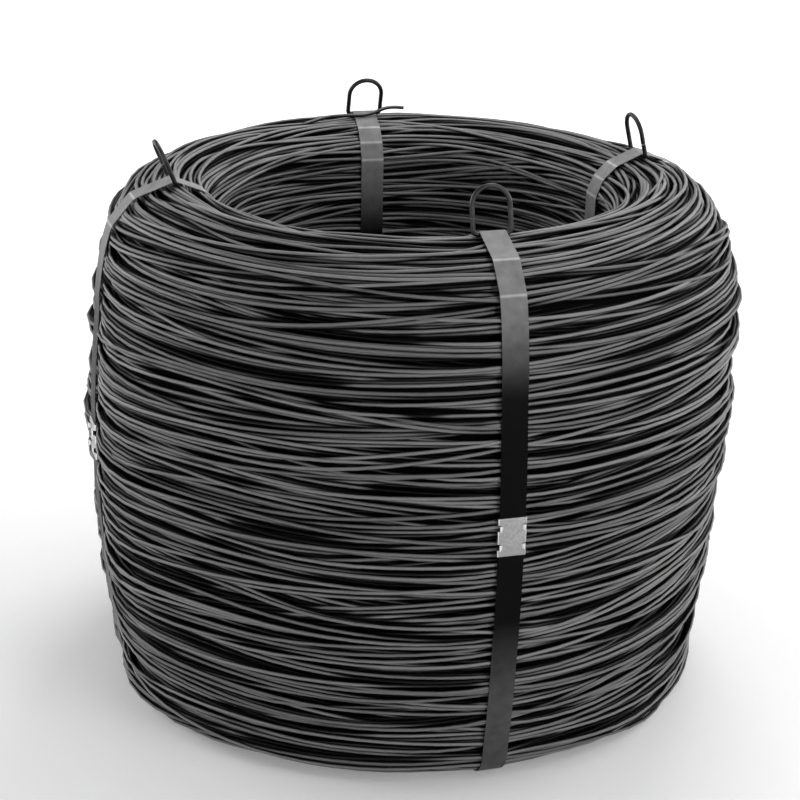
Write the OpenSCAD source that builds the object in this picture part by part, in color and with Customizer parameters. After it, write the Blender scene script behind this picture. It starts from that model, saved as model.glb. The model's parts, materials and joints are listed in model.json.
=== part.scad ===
// Coil of black annealed wire, bound with four flat steel straps.
// Each strap goes over the crest, down the bore, under the foot and up the outside of the coil.
// A pressed seal joins the lapped ends of a strap at the belly.
// A bent wire link stands on the crest under each strap, held down by its lower bar.

/* [Coil] */
// Diameter of the bore, over the innermost turns
bore_d = 300; // [240:1:360]
// Thickness of the winding at the belly, from bore to outside
wall = 102.5; // [85:0.5:130]
// Height of the winding
coil_h = 402; // [320:1:480]
// Height of the belly over the foot of the winding
belly_h = 206; // [150:1:240]
// How far the top shoulder draws in from the belly
top_draw = 12.5; // [3:0.5:18]
// How far the foot draws in from the belly
foot_draw = 14; // [4:0.5:20]
// Rounding of the crown into the bore
mouth_r = 37; // [14:1:44]
// Rounding of the foot on its outer side
foot_r = 26; // [14:1:34]
// Rounding of the foot into the bore
foot_mouth_r = 30; // [12:1:40]
// Diameter of the wound wire
wire_d = 3; // [2.5:0.1:5]
// Space between neighbouring turns
turn_gap = 0.1; // [0.05:0.05:0.4]
// How much lower the gap between two groups of turns lies than the middle of a group
group_drop = 2.1; // [0.5:0.1:2.5]
// How much lower a single turn between two groups lies, in the layer below
layer_drop = 5; // [3:0.1:5.5]

/* [Strap] */
// Width of the strap
strap_w = 19; // [12:0.5:25]
// Thickness of the strap
strap_t = 0.4; // [0.3:0.05:0.9]
// Space between a piece and what it rests on
seat = 0.02; // [0.01:0.01:0.1]
// Turn of the right strap round the coil, from square with the front strap
right_turn = 2; // [-10:1:10]
// Turn of the back strap round the coil, from opposite the front strap
back_turn = -3; // [-10:1:10]
// Turn of the left strap round the coil, from square with the front strap
left_turn = 2; // [-10:1:10]

/* [Seal] */
// Length of the seal along the strap
seal_l = 28.6; // [20:0.2:40]
// Thickness of the seal's sheet
seal_t = 0.9; // [0.6:0.05:1.2]
// Width of each edge that is folded behind the strap
seal_lip = 5; // [3:0.5:7]
// Depth of the crimped notches in the seal's edges
notch_depth = 3.4; // [1.5:0.1:4]
// Height of a notch along the strap
notch_h = 5; // [3:0.2:6.5]
// Turn of the crimped tabs out of the seal's face
tab_turn = 40; // [20:1:60]

/* [Link] */
// Diameter of the link's wire
link_wire_d = 3.5; // [2.5:0.1:5]
// Width of the link, outside
link_w = 31; // [28:0.5:40]
// Height of the link, outside
link_h = 36; // [30:0.5:60]
// Bend of the link's lower corners, at the middle of the wire
link_bend_r = 3.2; // [2.5:0.1:8]
// Gap between the two butted ends of the link's wire
link_gap = 1; // [0.4:0.1:3]
// Lean of the front link away from the bore
front_lean = -14; // [-25:1:25]
// Lean of the right link away from the bore
right_lean = -14; // [-25:1:25]
// Lean of the back link away from the bore
back_lean = -20; // [-25:1:25]
// Lean of the left link away from the bore
left_lean = 22; // [-25:1:25]

/* [Hidden] */
$fn = 96;
SIDES = ["front", "right", "back", "left"];
SIDE_ANGLE = [-90, right_turn, 90 + back_turn, 180 + left_turn];
LINK_LEAN = [front_lean, right_lean, back_lean, left_lean];

// Section of the winding: heights count from the floor, and the straps lie under the foot.
pitch = wire_d + turn_gap;
foot_z = strap_t + seat;
top_z = foot_z + coil_h;
belly_z = foot_z + belly_h;
bore_r = bore_d / 2;
belly_r = bore_r + wall;
mouth_c = [bore_r + mouth_r, top_z - mouth_r];
crown_r = wall - top_draw - mouth_r - pitch;
crown_c = [belly_r - top_draw - crown_r, top_z - crown_r];
foot_c = [belly_r - foot_draw - foot_r, foot_z + foot_r];
foot_mouth_c = [bore_r + foot_mouth_r, foot_z + foot_mouth_r];
crest_r = (crown_c.x + mouth_c.x) / 2;
groove = wire_d * 0.3;
crest_share = 0.6;

// The turns lie in groups of these numbers, one group after another.
// A group of one is a turn of the layer below, seen between its neighbours.
GROUPS = [5, 3, 1, 6, 4, 1];
GROUP_STARTS = [for (i = 0, sum = 0; i < len(GROUPS); sum = sum + GROUPS[i], i = i + 1) sum];
GROUP_ROUND = GROUP_STARTS[len(GROUPS) - 1] + GROUPS[len(GROUPS) - 1];

function group_of(j) = max([for (i = [0 : len(GROUPS) - 1]) if (GROUP_STARTS[i] <= j) i]);

// How far turn k lies below the middle of its group, at a place across it: 0 is its near side, 1 its far side.
function drop(k, place) =
    let (
        j = k % GROUP_ROUND,
        g = group_of(j),
        across = 2 * (j - GROUP_STARTS[g] + place) / GROUPS[g] - 1
    )
    GROUPS[g] == 1 ? layer_drop : group_drop * across * across;

// Radius of the barrel arc that stands upright at radius r and height belly_z,
// and runs on smoothly into a corner of radius p with its centre at c.
function barrel(r, c, p) =
    let (u = c.x - r, h = c.y - belly_z)
    (p * p - u * u - h * h) / (2 * (u + p));

// Direction from the barrel arc's centre to the corner's centre, where the two arcs meet.
function barrel_end(r, c, p) =
    atan2(c.y - belly_z, c.x - r + barrel(r, c, p));

function barrel_c(r, c, p) = [r - barrel(r, c, p), belly_z];

function on_arc(c, r, a) = c + r * [cos(a), sin(a)];

// Turns side by side along an arc of the section: for each, the groove before it and its rounded crest.
function arc_turns(c, r, a0, a1) =
    let (
        n = max(1, floor((a1 - a0) * PI / 180 * (r - wire_d / 2) / pitch)),
        d = (a1 - a0) / n
    )
    [
        for (k = [0 : n - 1])
            let (a = a0 + (k + 0.5) * d)
            each [
                on_arc(c, r - groove - drop(k, 0), a - d / 2),
                on_arc(c, r - drop(k, 0.5), a - d * crest_share / 2),
                on_arc(c, r - drop(k, 0.5), a + d * crest_share / 2)
            ]
    ];

// Turns side by side along a level line from x0 to x1, with their crests at height z and grooves at z + rise.
function level_turns(x0, x1, z, rise) =
    let (
        n = max(1, floor(abs(x1 - x0) / pitch + 0.01)),
        d = (x1 - x0) / n
    )
    [
        for (k = [0 : n - 1])
            let (x = x0 + (k + 0.5) * d)
            each [
                [x - d / 2, z + rise],
                [x - d * crest_share / 2, z],
                [x + d * crest_share / 2, z]
            ]
    ];

foot_end = barrel_end(belly_r, foot_c, foot_r);
crown_end = barrel_end(belly_r, crown_c, crown_r);

// All outer turns in order: bore, foot, barrel and crown, back to the bore.
section_turns = concat(
    arc_turns(foot_mouth_c, foot_mouth_r, 180, 270),
    level_turns(foot_mouth_c.x, foot_c.x, foot_z, groove),
    arc_turns(foot_c, foot_r, -90, foot_end),
    arc_turns(barrel_c(belly_r, foot_c, foot_r), barrel(belly_r, foot_c, foot_r), foot_end, 0),
    arc_turns(
        barrel_c(belly_r, crown_c, crown_r), barrel(belly_r, crown_c, crown_r),
        0, crown_end),
    arc_turns(crown_c, crown_r, crown_end, 90),
    level_turns(crown_c.x, mouth_c.x, top_z, -groove),
    arc_turns(mouth_c, mouth_r, 90, 180)
);

// Strap's run: the outer ply lifts off the belly to make room for the seal's lips and the inner ply.
// In the bore the flat strap bears on the round wall with its two edges.
edge_shift = bore_r - sqrt(bore_r * bore_r - strap_w * strap_w / 4);
strap_mouth_c = mouth_c - [edge_shift, 0];
strap_foot_mouth_c = foot_mouth_c - [edge_shift, 0];
ply_r = belly_r + seal_t + 2 * seat;
outer_ply_r = ply_r + strap_t + seat;
lap = seal_l - 3;
bar = [crest_r, top_z + seat + link_wire_d / 2];
bar_round = link_wire_d / 2 + seat;

// Corner points of the flat facets that the strap takes around an arc, each facet touching the arc.
function facets(c, r, a0, a1, n) =
    let (d = (a1 - a0) / n)
    [for (k = [0 : n - 1]) on_arc(c, r / cos(d / 2), a0 + (k + 0.5) * d)];

// Direction square to the straight run that touches one round and then the next.
function touch(c1, r1, c2, r2) =
    let (v = c2 - c1)
    atan2(v.y, v.x) + acos((r1 - r2) / norm(v));

up_angle = touch(strap_mouth_c, mouth_r + seat, bar, bar_round);
down_angle = touch(bar, bar_round, crown_c, crown_r + seat);

strap_run = concat(
    [[ply_r, belly_z + lap / 2]],
    facets(
        barrel_c(ply_r, foot_c, foot_r + seat), barrel(ply_r, foot_c, foot_r + seat),
        0, barrel_end(ply_r, foot_c, foot_r + seat), 2),
    facets(foot_c, foot_r + seat, barrel_end(ply_r, foot_c, foot_r + seat), -90, 6),
    facets(strap_foot_mouth_c, foot_mouth_r + seat, -90, -180, 5),
    facets(strap_mouth_c, mouth_r + seat, 180, up_angle, 3),
    facets(bar, bar_round, up_angle, down_angle, 3),
    facets(
        crown_c, crown_r + seat,
        down_angle, barrel_end(outer_ply_r, crown_c, crown_r + seat), 2),
    facets(
        barrel_c(outer_ply_r, crown_c, crown_r + seat),
        barrel(outer_ply_r, crown_c, crown_r + seat),
        barrel_end(outer_ply_r, crown_c, crown_r + seat), 0, 2),
    [[outer_ply_r, belly_z - lap / 2]]
);

function unit(v) = v / norm(v);

function left_of(v) = [-v.y, v.x];

// Runs of a strap, as the unit normals that point away from the coil.
strap_normals = [
    for (k = [0 : len(strap_run) - 2]) left_of(unit(strap_run[k + 1] - strap_run[k]))
];

// Outer face of the strap: each corner moves out to where the two shifted faces meet.
strap_back = [
    for (k = [0 : len(strap_run) - 1])
        let (
            n1 = strap_normals[max(0, k - 1)],
            n2 = strap_normals[min(len(strap_normals) - 1, k)]
        )
        strap_run[k] + strap_t * (n1 + n2) / (1 + n1 * n2)
];

strap_outline = concat(
    strap_run,
    [for (k = [len(strap_back) - 1 : -1 : 0]) strap_back[k]]
);

// Link's wire: middles of its legs, bends and top.
leg_x = (link_w - link_wire_d) / 2;
arch_z = link_h - link_wire_d - leg_x;
link_bend = min(link_bend_r, leg_x - strap_w / 2 - seat);
butt_z = link_bend + (arch_z - link_bend) * 0.5;

module wire_coil() {
    color("#4d4d4d")
        rotate_extrude()
            polygon(concat([[bore_r, mouth_c.y], [bore_r, foot_mouth_c.y]], section_turns));
}

module strap(i) {
    color("#2e2e2e")
        rotate(SIDE_ANGLE[i])
            difference() {
                rotate([90, 0, 0])
                    linear_extrude(strap_w, center = true)
                        polygon(strap_outline);
                notches();
            }
}

// The crimping tool shears the same notches through the seal and the two plies inside it.
module notches() {
    for (side = [-1, 1], row = [-1, 1])
        translate([ply_r, side * (strap_w / 2 + seat + seal_t), belly_z + row * seal_l / 4])
            rotate([90, 0, 90])
                linear_extrude(8 * (seal_t + strap_t), center = true)
                    polygon([
                        [0.01 * side, notch_h / 2],
                        [-notch_depth * side, notch_h / 4],
                        [-notch_depth * side, -notch_h / 4],
                        [0.01 * side, -notch_h / 2]
                    ]);
}

module seal(i) {
    color("#a6a6a6")
        rotate(SIDE_ANGLE[i]) {
            difference() {
                translate([0, 0, belly_z - seal_l / 2])
                    linear_extrude(seal_l)
                        seal_section();
                notches();
            }
            tabs();
        }
}

// The sheet out of each notch stands out from the seal as a tab, a little smaller than the notch.
module tabs() {
    tab_h = notch_h * 0.9;
    for (side = [0, 1], row = [-1, 1])
        mirror([0, side, 0])
            translate([
                outer_ply_r + strap_t + seat + seal_t * 0.05,
                strap_w / 2 + seat + seal_t - notch_depth - seal_t * 0.1,
                belly_z + row * seal_l / 4
            ])
                rotate(-tab_turn)
                    rotate([90, 0, 90])
                        linear_extrude(seal_t)
                            polygon([
                                [0, tab_h / 4],
                                [notch_depth, tab_h / 2],
                                [notch_depth, -tab_h / 2],
                                [0, -tab_h / 4]
                            ]);
}

// Sheet folded round both plies, with its two edges lying behind the strap.
module seal_section() {
    inside = [2 * strap_t + 3 * seat, strap_w + 2 * seat];
    difference() {
        translate([ply_r - seat - seal_t, 0])
            rounded(inside.x + 2 * seal_t, inside.y + 2 * seal_t, seal_t);
        translate([ply_r - seat, -inside.y / 2])
            square(inside);
        translate([ply_r - seat - 2 * seal_t, -inside.y / 2 - seal_t + seal_lip])
            square([2 * seal_t + seat, inside.y + 2 * seal_t - 2 * seal_lip]);
    }
}

// Rectangle with round corners, its left side on the y axis.
module rounded(w, h, r) {
    translate([r, -h / 2])
        square([w - 2 * r, h]);
    translate([0, -h / 2 + r])
        square([w, h - 2 * r]);
    for (x = [r, w - r], y = [-h / 2 + r, h / 2 - r])
        translate([x, y])
            circle(r);
}

module link(i) {
    color("#3a3a3a")
        rotate(SIDE_ANGLE[i])
            translate([bar.x, 0, bar.y])
                rotate([0, LINK_LEAN[i], 0])
                    rotate(90)
                        link_wire();
}

module link_wire() {
    difference() {
        union() {
            rotate([0, 90, 0])
                cylinder(d = link_wire_d, h = 2 * (leg_x - link_bend), center = true);
            for (side = [0, 1])
                mirror([side, 0, 0]) {
                    translate([leg_x - link_bend, 0, link_bend])
                        rotate([90, 0, 0])
                            wire_bend(link_bend, -90, 90);
                    translate([leg_x, 0, link_bend])
                        cylinder(d = link_wire_d, h = arch_z - link_bend);
                }
            translate([0, 0, arch_z])
                rotate([90, 0, 0])
                    wire_bend(leg_x, 0, 180);
        }
        translate([-leg_x, 0, butt_z])
            cube([2 * link_wire_d, 2 * link_wire_d, link_gap], center = true);
    }
}

// Round wire bent to an arc in the xy plane.
module wire_bend(r, from, sweep) {
    rotate(from)
        rotate_extrude(angle = sweep)
            translate([r, 0])
                circle(d = link_wire_d);
}

wire_coil();
for (i = [0 : 3]) {
    strap(i);
    seal(i);
    link(i);
}
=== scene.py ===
import json
import math

import bmesh
import bpy
import numpy as np
from mathutils import Matrix, Vector


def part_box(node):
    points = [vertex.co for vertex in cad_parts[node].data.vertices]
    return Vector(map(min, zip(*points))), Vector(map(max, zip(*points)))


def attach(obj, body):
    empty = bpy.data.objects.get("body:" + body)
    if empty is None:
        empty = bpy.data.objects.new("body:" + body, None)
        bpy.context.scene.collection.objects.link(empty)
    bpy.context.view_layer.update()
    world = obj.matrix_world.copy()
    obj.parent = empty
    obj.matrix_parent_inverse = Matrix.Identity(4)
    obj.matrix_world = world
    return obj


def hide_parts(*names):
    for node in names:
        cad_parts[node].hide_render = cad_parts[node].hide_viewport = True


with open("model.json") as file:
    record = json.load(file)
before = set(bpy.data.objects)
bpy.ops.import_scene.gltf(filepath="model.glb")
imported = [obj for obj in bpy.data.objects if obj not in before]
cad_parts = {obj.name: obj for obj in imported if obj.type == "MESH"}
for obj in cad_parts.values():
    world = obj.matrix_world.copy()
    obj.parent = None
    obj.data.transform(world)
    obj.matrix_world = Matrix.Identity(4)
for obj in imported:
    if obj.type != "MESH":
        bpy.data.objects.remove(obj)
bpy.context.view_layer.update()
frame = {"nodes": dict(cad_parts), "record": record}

# The winding: one length of black annealed steel wire, laid loosely in turns on a drum.
# It is drawn, annealed until a thin dark oxide covers it, and lies as it was thrown,
# in small groups of turns that run together, part, and cross each other.
SIDES = ("front", "right", "back", "left")
mounts = {mount["name"]: mount for mount in frame["record"]["mounts"]}
link_places = [mounts["link_" + side]["pos_m"] for side in SIDES]
STRAP_ANGLES = np.array([math.atan2(place[1], place[0]) for place in link_places])
coil_low, coil_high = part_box("wire_coil")
seal_low, seal_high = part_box("seal_front")
WIRE_D = 0.0030
BORE_R = mounts["bore"]["dims"]["r_mm"] / 1000
BELLY_R = coil_high.x
FOOT_Z = coil_low.z
TOP_Z = coil_high.z
BELLY_Z = (seal_low.z + seal_high.z) / 2
TOP_DRAW = 0.0125
FOOT_DRAW = 0.0140
MOUTH_R = 0.037
FOOT_R = 0.026
FOOT_MOUTH_R = 0.030
CROWN_R = BELLY_R - BORE_R - TOP_DRAW - MOUTH_R
# A place with a larger radius than this is on the outside of the coil.
OUTSIDE_R = BORE_R + 0.05

# Section of the coil: radius and height of its skin, all the way round, with the way out of the coil.
ARC_STEP = 0.5
ARC_DENSITY = 40


def arc(centre, radius, start, stop):
    """Points of an arc from one angle to another, in degrees."""
    count = 1 + int(abs(stop - start) / ARC_STEP + radius * ARC_DENSITY)
    angles = np.radians(np.linspace(start, stop, count))
    return np.stack([centre[0] + radius * np.cos(angles), centre[1] + radius * np.sin(angles)], 1)


def barrel(corner, radius):
    """Arc from the belly to a corner of the section: centre, radius and end angle."""
    out, up = corner[0] - BELLY_R, corner[1] - BELLY_Z
    swing = (radius**2 - out**2 - up**2) / (2 * (out + radius))
    return (BELLY_R - swing, BELLY_Z), swing, math.degrees(math.atan2(up, out + swing))


foot_in = (BORE_R + FOOT_MOUTH_R, FOOT_Z + FOOT_MOUTH_R)
foot_out = (BELLY_R - FOOT_DRAW - FOOT_R, FOOT_Z + FOOT_R)
crown = (BELLY_R - TOP_DRAW - CROWN_R, TOP_Z - CROWN_R)
mouth = (BORE_R + MOUTH_R, TOP_Z - MOUTH_R)
low_c, low_r, low_end = barrel(foot_out, FOOT_R)
high_c, high_r, high_end = barrel(crown, CROWN_R)
corners = np.concatenate([
    arc(foot_in, FOOT_MOUTH_R, 180, 270),
    arc(foot_out, FOOT_R, -90, low_end),
    arc(low_c, low_r, low_end, 0),
    arc(high_c, high_r, 0, high_end),
    arc(crown, CROWN_R, high_end, 90),
    arc(mouth, MOUTH_R, 90, 180),
])
corners = np.concatenate([corners, corners[:1]])
lengths = np.concatenate([[0], np.cumsum(np.linalg.norm(np.diff(corners, axis=0), axis=1))])
GIRTH = lengths[-1]
CELL_GOAL = 0.0005
cells = int(GIRTH / CELL_GOAL)
CELL = GIRTH / cells
spots = np.arange(cells) * CELL
section = np.stack([np.interp(spots, lengths, corners[:, i]) for i in (0, 1)], 1)
SLOPE_SPAN = 4
along = np.roll(section, -SLOPE_SPAN, axis=0) - np.roll(section, SLOPE_SPAN, axis=0)
along /= np.linalg.norm(along, axis=1)[:, None]
outward = np.stack([along[:, 1], -along[:, 0]], 1)

# A turn has points under each strap, at the strap's edges and just clear of it, and even steps between.
PINCH = np.radians([0, 2.4, 5.4])
EVEN_STEPS = 15
bearing = []
for start, stop in zip(STRAP_ANGLES, np.append(STRAP_ANGLES[1:], STRAP_ANGLES[0])):
    gap = (stop - start) % (2 * math.pi)
    even = np.linspace(0, gap, EVEN_STEPS + 4)[2:-2]
    bearing.append(start + np.concatenate([PINCH, even, gap - PINCH[:0:-1]]))
bearing = np.concatenate(bearing)
STEPS = len(bearing)
rows = np.arange(STEPS)

# Each group of turns goes where the winding is lowest, and rests on the turns laid before it.
# The last turns go one or two at a time, into the hollows that are left.
TURNS = 960
LAST_TURNS = 0.75 * TURNS
TRIES = 24
GROUP_SWAY = [0.0085, 0.0050, 0.0028, 0.0016, 0.0010]
TURN_SWAY = [0.0007, 0.0006, 0.0005, 0.0004, 0.0003, 0.0003]
SPAN = 2
kernel = np.hanning(2 * SPAN + 3)[1:-1]
kernel /= kernel.sum()
reach = int(WIRE_D / CELL)
rng = np.random.default_rng(11)


def sway(sizes):
    """A wave round the coil, in metres, with one random swing for each number of waves."""
    total = np.zeros(STEPS)
    for waves, size in enumerate(sizes, 1):
        total += rng.normal(0, size) * np.cos(waves * bearing + rng.uniform(0, 2 * math.pi))
    return total


def settle(height):
    """The wire is springy: it comes down over what lies below it on a long curve."""
    return sum(w * np.roll(height, k, axis=-1) for w, k in zip(kernel, range(-SPAN, SPAN + 1)))


# rest_on holds the lowest height that the middle of a wire can take.
rest_on = np.zeros((STEPS, cells))
routes, heights = [], []
while len(routes) < TURNS:
    last = len(routes) > LAST_TURNS
    count = int(rng.integers(1, 3)) if last else int(rng.integers(2, 7))
    pitch = WIRE_D * rng.uniform(1.0, 1.18)
    best = None
    for _ in range(3 * TRIES if last else TRIES):
        swing = rng.uniform(0, GIRTH) + sway(GROUP_SWAY)
        cell = np.rint((swing + pitch * np.arange(count)[:, None]) / CELL).astype(int)
        lift = rest_on[rows, cell % cells].mean()
        if best is None or lift < best[0]:
            best = (lift, swing)
    for k in range(count):
        route = best[1] + k * pitch + sway(TURN_SWAY)
        cell = np.rint(route / CELL).astype(int)
        height = settle(rest_on[rows, cell % cells])
        routes.append(route)
        heights.append(height)
        for off in range(-reach, reach + 1):
            column = (cell + off) % cells
            lift = height + math.sqrt(max(WIRE_D**2 - (off * CELL) ** 2, 0))
            rest_on[rows, column] = np.maximum(rest_on[rows, column], lift)
routes = np.array(routes)
heights = np.array(heights)
# rest_on is a wire's width over the top turn's middle, so the skin's level comes straight from it.
SKIN_PERCENT = 80
level = np.percentile(rest_on, SKIN_PERCENT) - WIRE_D
heights -= level + WIRE_D / 2

# Turns lie level in the bore, where the drum was, at the foot and on the crest. Elsewhere some stand out,
# and each strap presses down what it crosses.
ROOM = 0.0025
PRESSED = 0.0106
SPRING_BACK = 0.012
cell_of = np.rint(routes / CELL).astype(int) % cells
z_of, r_of = section[cell_of, 1], section[cell_of, 0]


def smooth(share):
    """A step from 0 to 1 that starts and ends gently."""
    share = np.clip(share, 0, 1)
    return share**2 * (3 - 2 * share)


def freed(angle, radius):
    """0 under a strap, and 1 well clear of it."""
    turned = np.abs((angle[..., None] - STRAP_ANGLES + math.pi) % (2 * math.pi) - math.pi).min(-1)
    return smooth((turned * radius - PRESSED) / SPRING_BACK)


in_bore = np.clip((BORE_R + 0.012 - r_of) / 0.010, 0, 1)
at_foot = np.clip((FOOT_Z + 0.020 - z_of) / 0.016, 0, 1)
at_crest = np.clip((z_of - TOP_Z + 0.016) / 0.012, 0, 1)
room = ROOM * (1 - np.maximum(np.maximum(in_bore, at_foot), at_crest))
free = freed(np.broadcast_to(bearing, r_of.shape), r_of)
heights = np.minimum(heights, room * free - WIRE_D / 2)

# Pulled tight, a strap is flush with the top turns under it, and arches a little below its last bend.
ARCH_TOP = 0.3735
ARCH_LOW = 0.300
ARCH_RISE = 0.0125


def skin_of(heights):
    """The height of the top turn over each cell."""
    top = np.full((STEPS, cells), -1.0)
    for cell, height in zip(cell_of, heights):
        for k in range(-reach // 2, reach // 2 + 1):
            column = (cell + k) % cells
            top[rows, column] = np.maximum(top[rows, column], height)
    return top


def highest_near(top, span):
    """The highest of the cells up to a span away."""
    return np.max([np.roll(top, k, axis=1) for k in range(-span, span + 1)], axis=0)


def arch(height):
    """How far a strap and the turns under it arch out at a height."""
    share = np.clip((ARCH_TOP - height) / (ARCH_TOP - ARCH_LOW), 0, 1)
    return ARCH_RISE * share * (1 - share) ** 2


flush = highest_near(skin_of(heights), 2 * reach)
flush = sum(np.roll(flush, k, axis=1) for k in range(-reach, reach + 1)) / (2 * reach + 1)
over = np.where(r_of > OUTSIDE_R, arch(z_of), 0.0)
heights = heights + (1 - free) * (over - WIRE_D / 2 - flush[rows, cell_of])

# Turns that lie wholly under others are left out, and each of the rest knows how deep it lies.
HIDDEN_DEPTH = 0.9 * WIRE_D
SHOWN_SHARE = 0.05
skin = skin_of(heights)
kept = (skin[rows, cell_of] < heights + HIDDEN_DEPTH).mean(1) > SHOWN_SHARE
nearby = highest_near(skin, reach)
heights, cell_of = heights[kept], cell_of[kept]
r_of, z_of = r_of[kept], z_of[kept]
depths = nearby[rows, cell_of] - heights

# Between the straps the coil isn't quite round, and it bulges beside a strap that pinches it.
# Each row is the bearing and height of a swell's middle, how far it spreads round and up,
# and how far it stands out or, if negative, in.
SWELLS = [
    (-30, 0.325, 26, 0.085, 0.0100),
    (-28, 0.080, 28, 0.085, -0.0020),
    (168, 0.370, 12, 0.060, -0.0040),
    (198, 0.190, 14, 0.230, 0.0115),
    (-45, 0.010, 25, 0.018, 0.0085),
    (-150, 0.012, 25, 0.025, 0.0040),
    (-83, 0.230, 5, 0.150, 0.0020),
    (-97, 0.230, 5, 0.150, 0.0020),
    (-7, 0.210, 7, 0.200, 0.0045),
    (11, 0.210, 7, 0.200, 0.0045),
    (78, 0.210, 7, 0.200, 0.0045),
    (96, 0.210, 7, 0.200, 0.0045),
    (173, 0.210, 7, 0.200, 0.0045),
]


def swell(angle, radius, height):
    """How far a place on the coil stands out. The bore, the foot's underside and the straps stay put."""
    total = np.zeros(radius.shape)
    for middle, rise, wide, tall, size in SWELLS:
        turned = (np.degrees(angle) - middle + 180) % 360 - 180
        total += size * np.exp(-(turned / wide) ** 2 - ((height - rise) / tall) ** 2)
    outside = smooth((radius - BORE_R - 0.030) / 0.030)
    off_floor = smooth((height - FOOT_Z) / 0.012)
    return total * freed(angle, radius) * outside * off_floor


heights = heights + swell(np.broadcast_to(bearing, r_of.shape), r_of, z_of)
middle = section[cell_of] + outward[cell_of] * heights[..., None]
# Cells are half a millimetre, so the middles are smoothed a little along each turn.
middle = (np.roll(middle, 1, axis=1) + 2 * middle + np.roll(middle, -1, axis=1)) / 4
middle[..., 1] = np.maximum(middle[..., 1], FOOT_Z + WIRE_D / 2)
cos_b, sin_b = np.cos(bearing), np.sin(bearing)
centre = np.stack([middle[..., 0] * cos_b, middle[..., 0] * sin_b, middle[..., 1]], -1)
facing = np.stack([outward[cell_of, 0] * cos_b, outward[cell_of, 0] * sin_b, outward[cell_of, 1]], -1)

# The wire's mesh has six flats, shaded smooth. A painted shade darkens it with depth and round its flanks.
FLATS = 6
UV_MARGIN = 0.05
DEPTH_PAINTED_SHADE = 0.75
FLANK_PAINTED_SHADE = 1.1


def add_values(mesh, name, values):
    """Gives each point of a mesh a value under a name."""
    attribute =mesh.attributes.new(name, "FLOAT", "POINT")
    attribute.data.foreach_set("value", np.asarray(values).ravel().astype(np.float32))


def lay_wire(name, paths, facing, depths, closed=True):
    """Round wire along each path, all in one mesh. Its points know the tone of their turn,
    how far along it they are, and a painted shade that grows with how deep they lie under the turns around
    them and how far round their flank they are."""
    turns, steps = paths.shape[:2]
    if closed:
        ahead = np.roll(paths, -1, axis=1) - np.roll(paths, 1, axis=1)
    else:
        ahead = np.gradient(paths, axis=1)
    ahead /= np.linalg.norm(ahead, axis=-1, keepdims=True)
    side = np.cross(ahead, (0.0, 0.0, 1.0))
    side /= np.linalg.norm(side, axis=-1, keepdims=True)
    up = np.cross(side, ahead)
    around = np.arange(FLATS) * 2 * math.pi / FLATS
    rim = np.cos(around)[:, None] * side[:, :, None] + np.sin(around)[:, None] * up[:, :, None]
    verts = paths[:, :, None] + WIRE_D / 2 * rim
    spans = steps if closed else steps - 1
    t, i, j = np.meshgrid(np.arange(turns), np.arange(spans), np.arange(FLATS), indexing="ij")
    here, there = (t * steps + i) * FLATS, (t * steps + (i + 1) % steps) * FLATS
    j2 = (j + 1) % FLATS
    faces = np.stack([here + j, here + j2, there + j2, there + j], -1).reshape(-1, 4).tolist()
    u = np.stack([i, i, i + 1, i + 1], -1) / spans
    v = UV_MARGIN + (1 - 2 * UV_MARGIN) * np.stack([j, j + 1, j + 1, j], -1) / FLATS
    strip_uv = np.stack([u, (t[..., None] + v) / turns], -1).reshape(-1, 2)
    if not closed:
        first = [[k * steps * FLATS + j for j in reversed(range(FLATS))] for k in range(turns)]
        final = [[((k + 1) * steps - 1) * FLATS + j for j in range(FLATS)] for k in range(turns)]
        faces += first + final
        cap_uv = 0.02 + 0.02 * np.stack([np.cos(around), np.sin(around)], -1)
        strip_uv = np.concatenate([strip_uv, np.tile(cap_uv, (2 * turns, 1))])
    mesh = bpy.data.meshes.new(name)
    mesh.from_pydata(verts.reshape(-1, 3).tolist(), [], faces)
    mesh.polygons.foreach_set("use_smooth", [len(face) == 4 for face in faces])
    strip = mesh.uv_layers.new(name="OFBake")
    strip.data.foreach_set("uv", strip_uv.ravel().astype(np.float32))
    length = np.cumsum(np.linalg.norm(np.diff(paths, axis=1, prepend=paths[:, :1]), axis=-1), axis=1)
    flank = 1 - (rim * facing[:, :, None]).sum(-1)
    add_values(mesh, "tone", np.repeat(rng.uniform(0, 1, turns), steps * FLATS))
    add_values(mesh, "run", np.repeat(length.ravel(), FLATS))
    # Painted shade: darker the deeper a point lies and the further round its flank.
    add_values(mesh, "painted_shade", DEPTH_PAINTED_SHADE * depths[..., None] / WIRE_D + FLANK_PAINTED_SHADE * flank)
    piece = bpy.data.objects.new(name, mesh)
    bpy.context.collection.objects.link(piece)
    return piece


def grey(level):
    return (level, level, level, 1)


def new_material(name):
    """A material, with its nodes, its links and its main shader."""
    material = bpy.data.materials.new(name)
    material.use_nodes = True
    tree = material.node_tree
    return material, tree.nodes, tree.links, tree.nodes["Principled BSDF"]


def mesh_value(nodes, name):
    """The value that a mesh's points hold under a name."""
    node = nodes.new("ShaderNodeAttribute")
    node.attribute_name = name
    return node.outputs["Fac"]


def reckon(nodes, links, operation, *terms, clamp=False):
    """A sum or product of other nodes' values and plain numbers."""
    node = nodes.new("ShaderNodeMath")
    node.operation = operation
    node.use_clamp = clamp
    for term, socket in zip(terms, node.inputs):
        if isinstance(term, float):
            socket.default_value = term
        else:
            links.new(term, socket)
    return node.outputs[0]


def two_greys(nodes, links, value, first, second, start=0.0, stop=1.0):
    """A grey that goes from the first to the second while a value goes from start to stop."""
    node = nodes.new("ShaderNodeValToRGB")
    low, high = node.color_ramp.elements
    low.position = start
    low.color = grey(first)
    high.position = stop
    high.color = grey(second)
    links.new(value, node.inputs["Fac"])
    return node


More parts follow.
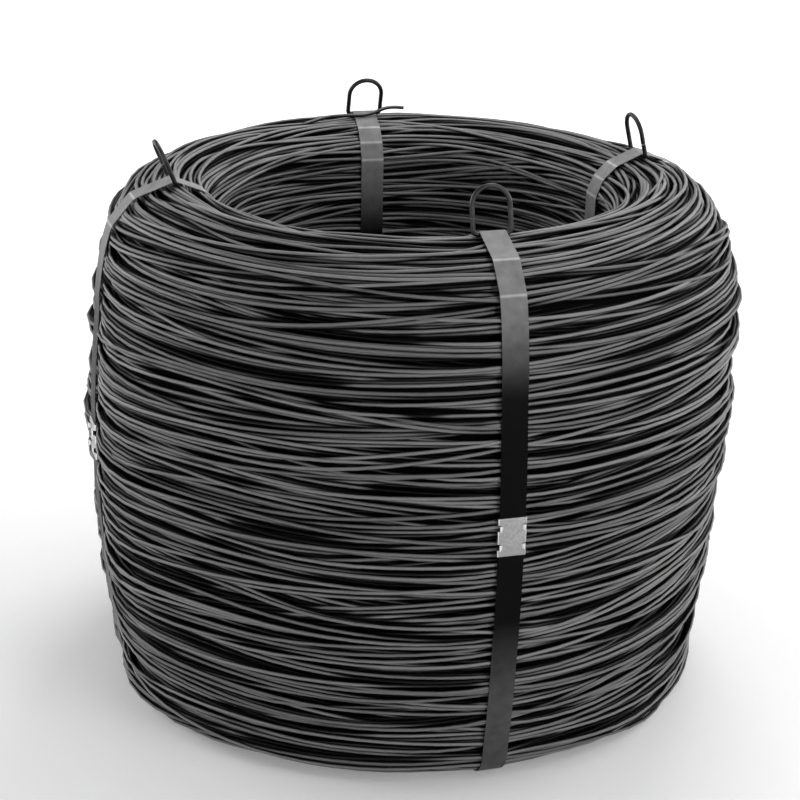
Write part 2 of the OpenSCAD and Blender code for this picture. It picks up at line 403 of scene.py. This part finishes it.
def patches(nodes, links, scale, detail=2.0):
    """Noise fixed to the piece."""
    spot = nodes.new("ShaderNodeTexCoord")
    noise = nodes.new("ShaderNodeTexNoise")
    noise.inputs["Scale"].default_value = scale
    noise.inputs["Detail"].default_value = detail
    links.new(spot.outputs["Object"], noise.inputs["Vector"])
    return noise.outputs["Fac"]


# Dark oxide: grey steel showing through, lighter or darker from turn to turn and along each turn.
# A painted shade makes a turn darker on its flanks and the deeper it lies.
oxide, nodes, links, shader = new_material("annealed_oxide")
tone = mesh_value(nodes, "tone")
pair = nodes.new("ShaderNodeCombineXYZ")
links.new(mesh_value(nodes, "run"), pair.inputs["X"])
links.new(tone, pair.inputs["Y"])
stretch = nodes.new("ShaderNodeVectorMath")
stretch.operation = "MULTIPLY"
stretch.inputs[1].default_value = (40.0, 300.0, 1.0)
links.new(pair.outputs[0], stretch.inputs[0])
blotches = nodes.new("ShaderNodeTexNoise")
blotches.inputs["Scale"].default_value = 1.0
blotches.inputs["Detail"].default_value = 4.0
links.new(stretch.outputs[0], blotches.inputs["Vector"])
half_tone = reckon(nodes, links, "MULTIPLY", tone, 0.5)
mixed = reckon(nodes, links, "MULTIPLY_ADD", blotches.outputs["Fac"], 0.5, half_tone)
shade = two_greys(nodes, links, mixed, 0.16, 0.30, 0.2, 0.8)
# Painted shade: the base colour darkens with depth and round the flanks.
painted_shade = reckon(nodes, links, "MULTIPLY", mesh_value(nodes, "painted_shade"), 0.8)
painted_shade_ramp = two_greys(nodes, links, painted_shade, 1.0, 0.02, 0.12, 1.0)
painted_shade_ramp.color_ramp.interpolation = "EASE"
oxide_with_painted_shade = nodes.new("ShaderNodeVectorMath")
oxide_with_painted_shade.operation = "MULTIPLY"
links.new(shade.outputs["Color"], oxide_with_painted_shade.inputs[0])
links.new(painted_shade_ramp.outputs["Color"], oxide_with_painted_shade.inputs[1])
links.new(oxide_with_painted_shade.outputs[0], shader.inputs["Base Color"])
shader.inputs["Metallic"].default_value = 0.3
shader.inputs["Roughness"].default_value = 0.55
shader.inputs["Specular IOR Level"].default_value = 0.15

# The turns are sorted by where they lie, so that each part of the winding is a piece of its own.
BORE_TURNS_R = BORE_R + 0.004
BORE_HALF_Z = 0.2
BARREL_THIRDS_Z = (0.135, 0.24)
mean_r, mean_z = middle.mean(1).T
where = np.select(
    [
        (mean_r < BORE_TURNS_R) & (mean_z > BORE_HALF_Z),
        mean_r < BORE_TURNS_R,
        mean_z < FOOT_Z + FOOT_R,
        mean_z > TOP_Z - CROWN_R,
        mean_z > BARREL_THIRDS_Z[1],
        mean_z > BARREL_THIRDS_Z[0],
    ],
    ["turns_bore_upper", "turns_bore_lower", "turns_foot", "turns_crown", "turns_barrel_upper",
     "turns_barrel_middle"],
    "turns_barrel_lower",
)
for name in np.unique(where):
    piece = lay_wire(str(name), centre[where == name], facing[where == name], depths[where == name])
    piece.data.materials.append(oxide)
    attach(piece, "root")
    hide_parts("wire_coil")

# Free end of the wire: the last turn's end, cut off and left loose on the crest at the back.
# It sags over the strap, and its tip is sprung up.
# Each point is a bearing in degrees, a radius and a height.
FREE_END = [
    (104, 0.1860, TOP_Z - 0.0040), (97, 0.1855, 0.4035), (92, 0.1810, 0.4045), (87.5, 0.1790, 0.4045),
    (84.5, 0.1810, 0.4062), (81.5, 0.1850, 0.4092), (79, 0.1865, 0.4096), (76.5, 0.1870, 0.4090),
]
FREE_POINTS = 49
EASE_SPAN = 4
knots = np.arange(len(FREE_END))
share = np.linspace(0, knots[-1], FREE_POINTS)
ease = np.hanning(2 * EASE_SPAN + 3)[1:-1]
ease /= ease.sum()


def eased(row):
    """A row of points' numbers, filled in and rounded off, with its ends kept."""
    filled = np.pad(np.interp(share, knots, row), EASE_SPAN, mode="reflect", reflect_type="odd")
    return np.convolve(filled, ease, mode="valid")


turned, out, rise = [eased(row) for row in np.array(FREE_END).T]
free_path = np.stack([out * np.cos(np.radians(turned)), out * np.sin(np.radians(turned)), rise], -1)
free_end = lay_wire("turns_free_end", free_path[None], np.array([[[0.0, 0.0, 1.0]]]),
                    np.zeros((1, len(free_path))), closed=False)
free_end.data.materials.append(oxide)
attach(free_end, "root")

# Body of the winding: the same wire, under the turns that show, coloured near black as painted shade where
# light doesn't reach.
# It is spun from the section, a few wires down, and swells with the turns over it.
CORE_DEPTH = 3.2 * WIRE_D
CORE_EVERY = 16
CORE_STEPS = 96


def made_piece(bm, name, material, sharp=None):
    """The finished mesh as a smooth piece at the origin, sharp where faces meet at more than an angle."""
    bmesh.ops.recalc_face_normals(bm, faces=bm.faces)
    mesh = bpy.data.meshes.new(name)
    bm.to_mesh(mesh)
    bm.free()
    mesh.materials.append(material)
    mesh.shade_smooth()
    if sharp:
        mesh.set_sharp_from_angle(angle=math.radians(sharp))
    piece = bpy.data.objects.new(name, mesh)
    bpy.context.collection.objects.link(piece)
    return piece


deep, nodes, links, shader = new_material("core_painted_shade")
# Painted shade: the core's colour is near black.
shade = two_greys(nodes, links, patches(nodes, links, 60.0), 0.002, 0.006)
links.new(shade.outputs["Color"], shader.inputs["Base Color"])
shader.inputs["Roughness"].default_value = 0.9
shader.inputs["Specular IOR Level"].default_value = 0.05
bm = bmesh.new()
ring = [bm.verts.new((r, 0, z)) for r, z in (section - outward * CORE_DEPTH)[::CORE_EVERY]]
edges = [bm.edges.new(ends) for ends in zip(ring, ring[1:] + ring[:1])]
bmesh.ops.spin(bm, geom=ring + edges, cent=(0, 0, 0), axis=(0, 0, 1), angle=2 * math.pi,
               steps=CORE_STEPS, use_merge=True)
for vert in bm.verts:
    flat = np.array([math.hypot(vert.co.x, vert.co.y)])
    out = swell(np.array([math.atan2(vert.co.y, vert.co.x)]), flat, np.array([vert.co.z]))[0]
    vert.co.xy *= (flat[0] + out) / flat[0]
core = made_piece(bm, "turns_inner", deep)
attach(core, "root")
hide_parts("wire_coil")

# Links: short lengths of annealed wire, bent to an oval whose ends butt in one leg.
# Each stands on the crest, held down by the strap that passes over its lower bar.
dark, nodes, links, shader = new_material("link_oxide")
shade = two_greys(nodes, links, patches(nodes, links, 140.0, 5.0), 0.025, 0.06, 0.3, 0.75)
links.new(shade.outputs["Color"], shader.inputs["Base Color"])
shader.inputs["Metallic"].default_value = 0.9
shader.inputs["Roughness"].default_value = 0.42
for side in SIDES:
    link = frame["nodes"]["link_" + side]
    link.data.materials.clear()
    link.data.materials.append(dark)

# Straps: black flat steel strapping, pulled tight over the turns so that it takes flat facets.
# The paint is semi-gloss and scuffed. At the sharp bends it is worn to the steel, with a painted highlight
# there too.
# Over the crown it is lightened as a painted highlight, and near the foot as a painted reflection.
paint, nodes, links, shader = new_material("strap_paint")
scuff = patches(nodes, links, 120.0, 6.0)
patchy = nodes.new("ShaderNodeMapRange")
patchy.inputs["To Min"].default_value = 0.6
patchy.inputs["To Max"].default_value = 1.4
links.new(scuff, patchy.inputs["Value"])
# Painted light: the mask lightens the paint, with wear and a painted highlight at the kinks, a painted
# highlight over the crown and a painted reflection near the foot.
bare_and_highlight = reckon(nodes, links, "MULTIPLY", patchy.outputs["Result"], mesh_value(nodes, "wear_and_highlight"), clamp=True)
steel_and_highlight = two_greys(nodes, links, bare_and_highlight, 0.002, 0.62)
links.new(steel_and_highlight.outputs["Color"], shader.inputs["Base Color"])
gloss = nodes.new("ShaderNodeMapRange")
gloss.inputs["To Min"].default_value = 0.32
gloss.inputs["To Max"].default_value = 0.44
links.new(scuff, gloss.inputs["Value"])
links.new(gloss.outputs["Result"], shader.inputs["Roughness"])
shader.inputs["Specular IOR Level"].default_value = 0.05

BEND_LENGTH = 0.018
KINK_ANGLE = math.radians(19)
KINK_EASE = 0.003
SLIGHT_ANGLE = math.radians(6)
SLIGHT_EASE = 0.022
SLIGHT_LOW, SLIGHT_HIGH = 0.05, 0.30
ARCH_CUTS = 15
KINK_WEAR_AND_HIGHLIGHT = 0.95
KINK_WEAR_AND_HIGHLIGHT_REACH = 0.0015
CROWN_PAINTED_HIGHLIGHT = 0.44
FOOT_PAINTED_REFLECTION = 0.15


def copy_of(name, flat):
    """A copy of a CAD node's mesh, with faces that lie flatter than an angle made whole."""
    bm = bmesh.new()
    bm.from_mesh(frame["nodes"][name].data)
    bmesh.ops.remove_doubles(bm, verts=bm.verts, dist=1e-6)
    bmesh.ops.dissolve_limit(bm, angle_limit=math.radians(flat), verts=bm.verts, edges=bm.edges)
    return bm


def round_off(bm, edges, offset, segments):
    """Rounds edges off, from an offset before them to an offset after them."""
    bmesh.ops.bevel(bm, geom=edges, offset=offset, offset_type="OFFSET", affect="EDGES",
                    segments=segments, profile=0.5, material=-1, clamp_overlap=True)


def strap_bends(bm, across):
    """The edges where a strap bends, which run straight across it."""
    return [
        e for e in bm.edges
        if len(e.link_faces) == 2 and e.calc_length() > BEND_LENGTH
        and abs((e.verts[1].co - e.verts[0].co).normalized().dot(across)) > 0.99
        and math.radians(1) < e.calc_face_angle() < math.radians(60)
    ]


for side, angle in zip(SIDES, STRAP_ANGLES):
    name = "strap_" + side
    outwards = Vector((math.cos(angle), math.sin(angle), 0))
    across = Vector((-math.sin(angle), math.cos(angle), 0))
    bm = copy_of(name, 0.5)
    # The bends at the crown and the mouth are kinks: each keeps a short radius, and its paint is worn and
    # lightened as a painted highlight.
    kinks = [e for e in strap_bends(bm, across) if e.calc_face_angle() > KINK_ANGLE]
    kink_lines = [(math.hypot(e.verts[0].co.x, e.verts[0].co.y), e.verts[0].co.z) for e in kinks]
    round_off(bm, kinks, KINK_EASE, 4)
    slight = [e for e in strap_bends(bm, across)
              if e.calc_face_angle() < SLIGHT_ANGLE and SLIGHT_LOW < e.verts[0].co.z < SLIGHT_HIGH]
    round_off(bm, slight, SLIGHT_EASE, 6)
    # Below its last kink the strap comes over to the upright on a long curve.
    for cut in np.linspace(ARCH_LOW, ARCH_TOP, ARCH_CUTS)[1:-1]:
        bmesh.ops.bisect_plane(bm, geom=bm.verts[:] + bm.edges[:] + bm.faces[:], dist=1e-7,
                               plane_co=(0, 0, cut), plane_no=(0, 0, 1))
    for vert in bm.verts:
        if vert.co.dot(outwards) > OUTSIDE_R:
            vert.co += outwards * float(arch(vert.co.z))
    strap = made_piece(bm, "bound_" + name, paint, 25)
    wear_and_highlight_values = []
    for vert in strap.data.vertices:
        radius = math.hypot(vert.co.x, vert.co.y)
        near = min(math.hypot(radius - r, vert.co.z - z) for r, z in kink_lines)
        # Painted highlight over the crown, and painted reflection near the foot.
        at_crown = smooth((vert.co.z - 0.302) / 0.075)
        near_foot = smooth((0.135 - vert.co.z) / 0.070)
        crown_and_foot_painted_light = CROWN_PAINTED_HIGHLIGHT * at_crown + FOOT_PAINTED_REFLECTION * near_foot
        wear_and_highlight_values.append(KINK_WEAR_AND_HIGHLIGHT if near < KINK_WEAR_AND_HIGHLIGHT_REACH else crown_and_foot_painted_light)
    add_values(strap.data, "wear_and_highlight", wear_and_highlight_values)
    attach(strap, "root")
    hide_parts(name)

# Seals: zinc-coated sheet sleeves, closed round both ends of a strap and notched by the crimping tool.
# Their folds and turned tabs are lighter: rubbed bright by the tool, and with a painted highlight.
zinc, nodes, links, shader = new_material("zinc_sheet")
spot = nodes.new("ShaderNodeTexCoord")
spangle = nodes.new("ShaderNodeTexVoronoi")
spangle.inputs["Scale"].default_value = 900.0
links.new(spot.outputs["Object"], spangle.inputs["Vector"])
dull = two_greys(nodes, links, spangle.outputs["Color"], 0.28, 0.38)
fresh_and_highlight_mix = nodes.new("ShaderNodeMix")
fresh_and_highlight_mix.data_type = "RGBA"
links.new(mesh_value(nodes, "fresh_and_highlight"), fresh_and_highlight_mix.inputs["Factor"])
links.new(dull.outputs["Color"], fresh_and_highlight_mix.inputs[6])
fresh_and_highlight_mix.inputs[7].default_value = grey(0.88)
links.new(fresh_and_highlight_mix.outputs[2], shader.inputs["Base Color"])
shader.inputs["Metallic"].default_value = 0.9
shader.inputs["Roughness"].default_value = 0.3

FOLD_ANGLE = math.radians(30)
FOLD_EASE = 0.00018
FOLD_OFF = 0.0098
TAB_R = BELLY_R + 0.0031
for side, angle in zip(SIDES, STRAP_ANGLES):
    name = "seal_" + side
    outwards = Vector((math.cos(angle), math.sin(angle), 0))
    across = Vector((-math.sin(angle), math.cos(angle), 0))
    bm = copy_of(name, 1)
    folds = [e for e in bm.edges if len(e.link_faces) == 2 and e.calc_face_angle() > FOLD_ANGLE]
    round_off(bm, folds, FOLD_EASE, 2)
    seal = made_piece(bm, "crimped_" + name, zinc, 40)
    # The folds and tabs are lightened by tool wear and a painted highlight.
    add_values(seal.data, "fresh_and_highlight", [
        abs(vert.co.dot(across)) > FOLD_OFF or vert.co.dot(outwards) > TAB_R for vert in seal.data.vertices
    ])
    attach(seal, "root")
    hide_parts(name)

# Studio: a round pale floor that curves up into a wall, a soft light overhead and one behind,
# a tall strip in front, and soft fill at the sides. The card is lighter further out, so that it
# shows white all round, and keeps the coil's shadow near it.
FLOOR_R = 3.0
CURVE_R = 0.8
WALL_TOP = 2.6
CURVE_STEPS = 12
card, nodes, links, shader = new_material("studio_card")
shader.inputs["Base Color"].default_value = grey(0.9)
shader.inputs["Roughness"].default_value = 0.9
path = nodes.new("ShaderNodeLightPath")
seen = reckon(nodes, links, "ADD", path.outputs["Is Camera Ray"], path.outputs["Is Glossy Ray"])
seen = reckon(nodes, links, "ADD", seen, path.outputs["Is Transmission Ray"], clamp=True)
spot = nodes.new("ShaderNodeTexCoord")
far = nodes.new("ShaderNodeVectorMath")
far.operation = "LENGTH"
links.new(spot.outputs["Object"], far.inputs[0])
lighter = nodes.new("ShaderNodeMapRange")
lighter.interpolation_type = "SMOOTHSTEP"
lighter.inputs["From Min"].default_value = 0.4
lighter.inputs["From Max"].default_value = 2.4
lighter.inputs["To Min"].default_value = 0.20
lighter.inputs["To Max"].default_value = 0.80
links.new(far.outputs["Value"], lighter.inputs["Value"])
lift = reckon(nodes, links, "MULTIPLY", lighter.outputs["Result"], seen)
shader.inputs["Emission Color"].default_value = grey(1.0)
links.new(lift, shader.inputs["Emission Strength"])
bm = bmesh.new()
line = [bm.verts.new((0, 0, 0)), bm.verts.new((FLOOR_R, 0, 0))]
for k in range(1, CURVE_STEPS + 1):
    a = math.radians(90 * k / CURVE_STEPS)
    line.append(bm.verts.new((FLOOR_R + CURVE_R * math.sin(a), 0, CURVE_R - CURVE_R * math.cos(a))))
line.append(bm.verts.new((FLOOR_R + CURVE_R, 0, WALL_TOP)))
edges = [bm.edges.new(ends) for ends in zip(line, line[1:])]
bmesh.ops.spin(bm, geom=line + edges, cent=(0, 0, 0), axis=(0, 0, 1), angle=2 * math.pi,
               steps=72, use_merge=True)
bmesh.ops.remove_doubles(bm, verts=bm.verts, dist=1e-6)
sweep = made_piece(bm, "studio_sweep", card)

world = bpy.data.worlds.new("studio_air")
bpy.context.scene.world = world
world.use_nodes = True
air = world.node_tree.nodes["Background"]
air.inputs["Color"].default_value = grey(0.5)
air.inputs["Strength"].default_value = 0.06

CAMERA_BEARING = 253.5


def soft_light(name, place, target, size, power, along=(0, 0, 1)):
    """A softbox that faces a target, with its second side along a given direction."""
    lamp = bpy.data.lights.new(name, "AREA")
    lamp.shape = "RECTANGLE"
    lamp.size, lamp.size_y = size
    lamp.energy = power
    away = (Vector(place) - Vector(target)).normalized()
    long = (Vector(along) - away * away.dot(Vector(along))).normalized()
    turn = Matrix((long.cross(away), long, away)).transposed().to_4x4()
    obj = bpy.data.objects.new(name, lamp)
    obj.matrix_world = Matrix.Translation(place) @ turn
    bpy.context.collection.objects.link(obj)


def around_camera(turn, distance, height):
    """A place about that many degrees round from the camera, seen from above."""
    angle = math.radians(CAMERA_BEARING + turn)
    return (distance * math.cos(angle), distance * math.sin(angle), height)


soft_light("overhead", (0.2, 0.2, 2.3), (0, 0, 0.3), (1.4, 1.4), 14, along=(0, 1, 0))
soft_light("behind", (0.61, 0.81, 1.89), (0, -0.2, 0.4), (0.75, 0.75), 12)
soft_light("front_strip", (0.645, -1.50, 1.47), (0, -0.23, 0.38), (0.18, 2.2), 12, along=(0, 0.65, 0.76))
soft_light("left_side", around_camera(-105, 2.0, 1.0), (0, 0, 0.2), (1.8, 1.4), 22)
soft_light("right_side", around_camera(112, 2.0, 1.0), (0, 0, 0.2), (1.8, 1.4), 18)

# Camera at the photograph's angle. Its lens and shifts are given in the picture's pixels.
PICTURE = 800
FOCUS = 1920
SHIFT_X, SHIFT_Y = -8.7, 12
AZIMUTH, ELEVATION, DISTANCE, ROLL = math.radians(-16.7), 0.373, 1.551, 0.023
aim = Vector((0, 0, 0.2015))
back = Vector((math.sin(AZIMUTH) * math.cos(ELEVATION), -math.cos(AZIMUTH) * math.cos(ELEVATION),
               math.sin(ELEVATION)))
right = Vector((math.cos(AZIMUTH), math.sin(AZIMUTH), 0))
up = back.cross(right)
camera = bpy.data.cameras.new("camera")
camera.sensor_width = 36
camera.lens = FOCUS * camera.sensor_width / PICTURE
camera.shift_x = SHIFT_X / PICTURE
camera.shift_y = SHIFT_Y / PICTURE
rolled_right = math.cos(ROLL) * right + math.sin(ROLL) * up
rolled_up = math.cos(ROLL) * up - math.sin(ROLL) * right
turn = Matrix((rolled_right, rolled_up, back)).transposed().to_4x4()
camera_obj = bpy.data.objects.new("camera", camera)
camera_obj.matrix_world = Matrix.Translation(aim + DISTANCE * back) @ turn
bpy.context.collection.objects.link(camera_obj)
bpy.context.scene.camera = camera_obj
bpy.context.scene.view_settings.view_transform = "Standard"
